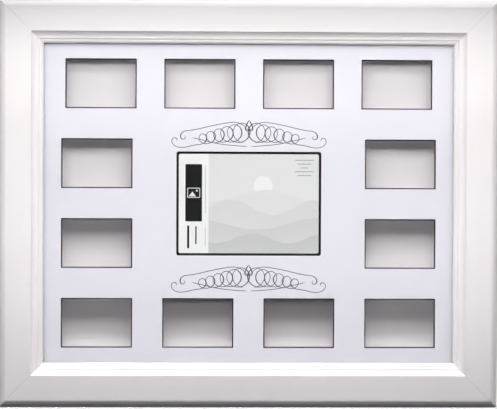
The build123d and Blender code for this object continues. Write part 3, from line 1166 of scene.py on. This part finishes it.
# %% [markdown]
# The hardware is plated steel. Nickel is warm and grey, zinc colder and blotched by its passivation,
# and the hanger's brass is thin and yellow. All three share one recipe: fine rubbing marks in the gloss
# and soft blotches in the colour, so one function makes them from their colours and their roughness.

# %% Plated steel


def plated_steel(name, dark, light, smoothest, roughest):
    """Plated strip or wire: blotched in colour, with fine marks in its gloss."""
    material = new_material(name)
    place = in_mm(material)
    _, tone = mottled(material, place, 2.5, dark, light, 4)
    along = add(material, "Mapping", {"Scale": (1, 1, 0.08), "Rotation": (0, 0.35, 0)}, {"Vector": place})
    marks = add(material, "TexNoise", {"Scale": 1 / 0.12, "Detail": 3}, {"Vector": along.outputs[0]})
    range_of_gloss = {"To Min": smoothest, "To Max": roughest}
    rub = add(material, "MapRange", range_of_gloss, {"Value": marks.outputs["Fac"]})
    relief = {"Strength": 0.15, "Distance": 0.01 * mm}
    bump = add(material, "Bump", relief, {"Height": marks.outputs["Fac"]})
    links = {"Base Color": tone, "Roughness": rub.outputs[0], "Normal": bump.outputs[0]}
    return finish_with(material, {"Metallic": 1.0}, links)


nickel = plated_steel("nickel-plated steel", "#B5B0A6", "#D6D2CA", 0.22, 0.38)
zinc = plated_steel("zinc-plated steel", "#A9ADB2", "#CDD0D4", 0.28, 0.46)
brass_plate = plated_steel("brass-plated steel", "#C2A25C", "#DCC07C", 0.2, 0.36)
for plate in buttons.values():
    plate.data.materials.append(nickel)
for piece, metal in ((button_screws, zinc), (hanger_nails, zinc), (hanger, brass_plate)):
    piece.data.materials.clear()
    piece.data.materials.append(metal)

# %% [markdown]
# Wool felt is a mass of short fibres pressed together: matt, slightly mottled, with a soft sheen.

# %% Grey felt
felt = new_material("grey wool felt")
wool, felt_tone = mottled(felt, in_mm(felt), 0.35, "#7C7873", "#BDB9B2", 6, 0.75)
wool_bump = add(felt, "Bump", {"Strength": 0.8, "Distance": 0.15 * mm}, {"Height": wool.outputs["Fac"]})
felt_links = {"Base Color": felt_tone, "Normal": wool_bump.outputs[0]}
finish_with(felt, {"Roughness": 0.95, "Sheen Weight": 0.4}, felt_links)
for pad in bumpers.values():
    pad.data.materials.append(felt)

# %% [markdown]
# The card in the centre window is a printed insert: a black line round its edge, a pale grey landscape
# and a white strip with a black label that carries the sign for a picture. It is offset print on smooth
# card, so it is drawn by shapes in the card's own millimetres: the colour that is there so far goes in,
# and the colour with one motif more comes out.

# %% Printing helpers
# Each motif is a prism that stands upright on the card, so high that its height never counts
through_card = 50
# How soft a hill's crest is, how far down the mist reaches, and what share of the hill is left there
crest_blur = 0.15
mist_depth = 26
mist_cover = 0.45


def print_shape(material, under, place, centre, half, radius, code):
    """Prints a rounded rectangle, in millimetres from the middle of the card, over what is there."""
    middle_of_it = {"operation": "SUBTRACT", 1: (centre[0], 0, centre[1])}
    offset = add(material, "VectorMath", middle_of_it, {0: place})
    size = add(material, "VectorMath", {"operation": "ABSOLUTE"}, {0: offset.outputs[0]})
    straight = (half[0] - radius, through_card, half[1] - radius)
    over = add(material, "VectorMath", {"operation": "SUBTRACT", 1: straight}, {0: size.outputs[0]})
    outside = add(material, "VectorMath", {"operation": "MAXIMUM", 1: (0, 0, 0)}, {0: over.outputs[0]})
    reach = add(material, "VectorMath", {"operation": "LENGTH"}, {0: outside.outputs[0]})
    inside = add(material, "Math", {"operation": "LESS_THAN", 1: radius}, {0: reach.outputs["Value"]})
    colour = {"data_type": "RGBA", MIX_B: linear(code)}
    painted = add(material, "Mix", colour, {0: inside.outputs[0], MIX_A: under})
    return painted.outputs[MIXED]


def print_hill(material, under, axes, foot, height, period, shift, code):
    """Prints a hill's misty outline: everything below a slow wave across the card."""
    along = {"operation": "MULTIPLY_ADD", 1: 2 * math.pi / period, 2: shift}
    phase = add(material, "Math", along, {0: axes.outputs["X"]})
    wave = add(material, "Math", {"operation": "SINE"}, {0: phase.outputs[0]})
    spot = add(material, "CombineXYZ", {"Y": shift}, {"X": axes.outputs["X"]})
    broken = {"Scale": 1 / 9, "Detail": 5, "Roughness": 0.6}
    rough = add(material, "TexNoise", broken, {"Vector": spot.outputs[0]})
    crest = add(material, "Math", {"operation": "MULTIPLY_ADD", 1: height, 2: foot}, {0: wave.outputs[0]})
    outline = {0: rough.outputs["Fac"], 2: crest.outputs[0]}
    ridge = add(material, "Math", {"operation": "MULTIPLY_ADD", 1: height}, outline)
    drop = add(material, "Math", {"operation": "SUBTRACT"}, {0: ridge.outputs[0], 1: axes.outputs["Z"]})
    edge = {"From Min": -crest_blur, "From Max": crest_blur}
    ground = add(material, "MapRange", edge, {"Value": drop.outputs[0]})
    thinning = {"From Min": 0, "From Max": mist_depth, "To Min": 1, "To Max": mist_cover}
    mist = add(material, "MapRange", thinning, {"Value": drop.outputs[0]})
    cover = add(material, "Math", {"operation": "MULTIPLY"}, {0: ground.outputs[0], 1: mist.outputs[0]})
    colour = {"data_type": "RGBA", MIX_B: linear(code)}
    painted = add(material, "Mix", colour, {0: cover.outputs[0], MIX_A: under})
    return painted.outputs[MIXED]


# %% [markdown]
# The landscape is a sky that darkens upwards, a pale sun and four ranges of hills, each greyer than the
# one behind it. Then come the strip, the label with its sign, and plain rules.

# %% Motifs of the card
card_half = (59.7, 42.6)
border = 1.0
border_corner = 1.6
strip_width = 25
strip_middle = -card_half[0] + border + strip_width / 2
label = (strip_middle, 9.0)
black_ink = "#161616"
sign_white = "#EDEDED"
# Each range of hills: its foot, how far it rises, the length and shift of its wave, and its grey
HILLS = (
    (4, 5, 96, 0.6, "#EAEAEA"),
    (-6, 6, 70, 2.9, "#E2E2E2"),
    (-19, 5, 110, 4.4, "#DADADA"),
    (-31, 4, 60, 1.2, "#D2D2D2"),
)
# Each motif on the strip: its middle, its half width and half height, its corner and its colour
STRIP_MOTIFS = [
    ((strip_middle, 0), (strip_width / 2, card_half[1]), 0.01, "#FCFCFC"),
    (label, (7.0, 24), 0.8, black_ink),
    (label, (5.4, 4.2), 0.8, sign_white),
    (label, (4.8, 3.6), 0.4, black_ink),
]
# The sign on the label is a peak built of narrowing steps, with a sun beside it
for step in range(8):
    peak = (label[0] - 1.1, label[1] - 2.8 + 0.5 * step)
    STRIP_MOTIFS.append((peak, (3.0 - 0.39 * step, 0.28), 0.02, sign_white))
STRIP_MOTIFS.append(((label[0] + 2.7, label[1] + 1.8), (0.8, 0.8), 0.8, sign_white))
# Plain rules: upright on the strip, level in the picture
STRIP_MOTIFS += [
    ((strip_middle - 4.5, -28.0), (0.9, 9.5), 0.1, "#1C1C1C"),
    ((strip_middle + 2.0, -26.5), (0.6, 7.5), 0.1, "#3A3A3A"),
    ((strip_middle + 9.8, 12.0), (0.18, 20.0), 0.1, "#A8A8A8"),
    ((strip_middle + 9.8, -28.0), (0.18, 8.0), 0.1, "#A8A8A8"),
]
LEVEL_RULES = [
    ((card_half[0] - 13, card_half[1] - 6 - 3.2 * row), (8.0 - 2.4 * (row % 3), 0.4), 0.1, "#B4B4B4")
    for row in range(5)
]
print("motifs on the card:", len(HILLS) + len(STRIP_MOTIFS) + len(LEVEL_RULES))

# %% [markdown]
# The motifs are printed one over another. The black line round the card is what lies outside a rounded
# rectangle, so the finished picture is laid on black by multiplying the two. Last comes the printer's
# screen of fine dots, drawn coarser than a real one so that it can show at all.

# %% Printed card
printed = new_material("offset print on smooth card")
to_card_middle = {"operation": "SUBTRACT", 1: (0, 0, frame_height / 2 / mm)}
card_place = add(printed, "VectorMath", to_card_middle, {0: in_mm(printed)}).outputs[0]
card_axes = add(printed, "SeparateXYZ", links={0: card_place})
card_height = {"From Min": -card_half[1], "From Max": card_half[1]}
dusk = add(printed, "MapRange", card_height, {"Value": card_axes.outputs["Z"]})
sky_greys = {"data_type": "RGBA", MIX_A: linear("#F4F4F4"), MIX_B: linear("#EAEAEA")}
picture = add(printed, "Mix", sky_greys, {0: dusk.outputs[0]}).outputs[MIXED]
picture = print_shape(printed, picture, card_place, (12, 15), (8, 8), 8, "#FAFAFA")
for hill in HILLS:
    picture = print_hill(printed, picture, card_axes, *hill)
for motif in STRIP_MOTIFS + LEVEL_RULES:
    picture = print_shape(printed, picture, card_place, *motif)
black = add(printed, "RGB")
black.outputs[0].default_value = linear("#121314")
inner_half = (card_half[0] - border, card_half[1] - border)
lined = print_shape(printed, black.outputs[0], card_place, (0, 0), inner_half, border_corner, "#FFFFFF")
multiply = {"data_type": "RGBA", "blend_type": "MULTIPLY", 0: 1}
inked = add(printed, "Mix", multiply, {MIX_A: lined, MIX_B: picture})
dots = add(printed, "TexVoronoi", {"Scale": 1 / 0.45, "Randomness": 0}, {"Vector": card_place})
dot_greys = {"From Min": 0, "From Max": 0.7, "To Min": 0.95, "To Max": 1}
screened = add(printed, "MapRange", dot_greys, {"Value": dots.outputs["Distance"]})
card_colour = add(printed, "Mix", multiply, {MIX_A: inked.outputs[MIXED], MIX_B: screened.outputs[0]})
smooth_card = {"Roughness": 0.5, "Specular IOR Level": 0.1}
finish_with(printed, smooth_card, {"Base Color": card_colour.outputs[MIXED]})

# %% [markdown]
# The solids whose shape is already right keep it, and only get their finish: the mat with its bevelled
# windows, the card, the tapes, the strips, the backing and the V-nails.

# %% Finishes of the solids
solid_finishes = {
    "collage_mat": mat_board,
    "display_card": printed,
    "card_tapes": masking_tape,
    "backing_board": hardboard,
    "corner_v_nails": zinc,
}
solid_finishes.update({f"spacer_{side}": foam_board for side in SIDE_ANGLES})
for node, material in solid_finishes.items():
    slots = frame["nodes"][node].data.materials
    slots.clear()
    slots.append(material)
print(len(solid_finishes), "solids finished")

# %% [markdown]
# Every new piece but the ornaments takes the place of the plain solid that it finishes and moves with that
# solid's body; the ornaments are added to the frame.
# Only the turn buttons move; all the rest is one body, the frame.

# %% What each piece stands for
for side, rail in rails.items():
    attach(rail, "frame")
    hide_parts(f"rail_{side}")
for body, plate in buttons.items():
    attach(plate, body)
    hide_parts(body)
for node, pad in bumpers.items():
    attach(pad, "frame")
    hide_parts(node)
for piece, node, slot in (
    (glass, "glass_pane", "clear_glass"),
    (button_screws, "turn_button_screws", "zinc_steel"),
    (hanger, "sawtooth_hanger", "brassed_steel"),
    (hanger_nails, "hanger_nails", "zinc_steel"),
):
    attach(piece, "frame")
    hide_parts(node)
for piece in ornaments.values():
    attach(piece, "frame")

# %% [markdown]
# The frame stands on a plain pale floor before a white room. White things are hard to light: they need
# shade to show their shape. So the floor and the room are pale only for the camera and for what glass
# and metal reflect, while for the light that they throw back on the frame they count as dark. The floor
# gets half its whiteness from a glow and the rest from the lamps, so a soft shadow still shows on it.

# %% Floor and room
floor_size = 8
floor_glow = 0.52
room_light = {"To Min": 0.015, "To Max": 1.0}


def seen_or_mirrored(owner):
    """One for the camera's own rays and for what shows in or through glass and metal, else nothing."""
    rays = add(owner, "LightPath")
    seen = rays.outputs["Is Camera Ray"]
    for kind in ("Is Glossy Ray", "Is Transmission Ray"):
        seen = add(owner, "Math", {"operation": "MAXIMUM"}, {0: seen, 1: rays.outputs[kind]}).outputs[0]
    return seen


floor_paint = new_material("pale floor paint")
floor_seen = seen_or_mirrored(floor_paint)
_, pale = mottled(floor_paint, in_mm(floor_paint), 3, "#8E8E90", "#969698", 3)
dark_unseen = {"data_type": "RGBA", MIX_A: linear("#3A3A3C")}
floor_colour = add(floor_paint, "Mix", dark_unseen, {0: floor_seen, MIX_B: pale})
glow = add(floor_paint, "Math", {"operation": "MULTIPLY", 1: floor_glow}, {0: floor_seen})
finish_with(
    floor_paint,
    {"Roughness": 0.9, "Specular IOR Level": 0.1, "Emission Color": (1, 1, 1, 1)},
    {"Base Color": floor_colour.outputs[MIXED], "Emission Strength": glow.outputs[0]},
)
deselect()
bpy.ops.mesh.primitive_plane_add(size=floor_size, location=(0, 0, 0))
floor = bpy.context.object
floor.name = "floor"
floor.data.materials.append(floor_paint)

room = bpy.data.worlds.new("room")
bpy.context.scene.world = room
room.use_nodes = True
room.node_tree.nodes.clear()
room_strength = add(room, "MapRange", room_light, {"Value": seen_or_mirrored(room)})
white_room = add(room, "Background", {"Color": linear("#FFFFFF")}, {"Strength": room_strength.outputs[0]})
add(room, "OutputWorld", links={"Surface": white_room.outputs[0]})

# %% [markdown]
# The light comes mostly from a wide strip close in front of the top of the frame: the shadows in the
# upper windows are short, those in the lower ones long. A strip above it and one behind brighten the
# top rail, a weak one in front of the middle lifts the lower windows, and one behind a grid throws its
# steep light on the lower half alone, past the windows. Two soft ones at the sides fill the outer
# shoulders, and a large lamp behind lights the back. Each is tilted towards the frame from straight
# down, and some are also turned about the upright.

# %% Lamps
# Each lamp: its place from the middle of the frame, its width and depth, watts, how wide its light
# spreads, its tilt and its turn, all three in degrees
OPEN = 180
LAMPS = {
    "top_strip": ((0.0, -0.16, 0.165), (0.7, 0.12), 0.89, OPEN, 0, 0),
    "slanted_strip": ((0.0, -0.16, 0.16), (0.5, 0.04), 0.26, OPEN, 60, 0),
    "upper_strip": ((0.0, -0.17, 0.26), (0.8, 0.08), 0.84, OPEN, 0, 0),
    "rim_strip": ((0.0, 0.05, 0.60), (0.9, 0.15), 2.30, OPEN, -6, 0),
    "middle_strip": ((0.0, -0.25, 0.0), (0.6, 0.04), 0.30, OPEN, 20, 0),
    "gridded_strip": ((0.0, -0.13, 0.25), (0.9, 0.03), 0.24, 26, 17, 0),
    "left_fill": ((-0.5, -0.20, 0.08), (0.1, 0.3), 0.12, OPEN, 90, -63),
    "right_fill": ((0.5, -0.20, 0.08), (0.1, 0.3), 0.12, OPEN, 90, 63),
    "back_light": ((-0.5, 1.6, 0.9), (1.2, 1.0), 34.0, OPEN, 62, 197),
}
for name, (place, size, watts, spread, tilt, turn) in LAMPS.items():
    lamp_data = bpy.data.lights.new(name, "AREA")
    lamp_data.shape = "RECTANGLE"
    lamp_data.size, lamp_data.size_y = size
    lamp_data.energy = watts
    lamp_data.spread = math.radians(spread)
    lamp = bpy.data.objects.new(name, lamp_data)
    lamp.location = middle + Vector(place)
    lamp.rotation_euler = (math.radians(tilt), 0, math.radians(turn))
    lamp.visible_camera = False
    lamp.visible_glossy = False
    bpy.context.scene.collection.objects.link(lamp)
bpy.context.scene.view_settings.view_transform = "Standard"
print(len(LAMPS), "lamps")
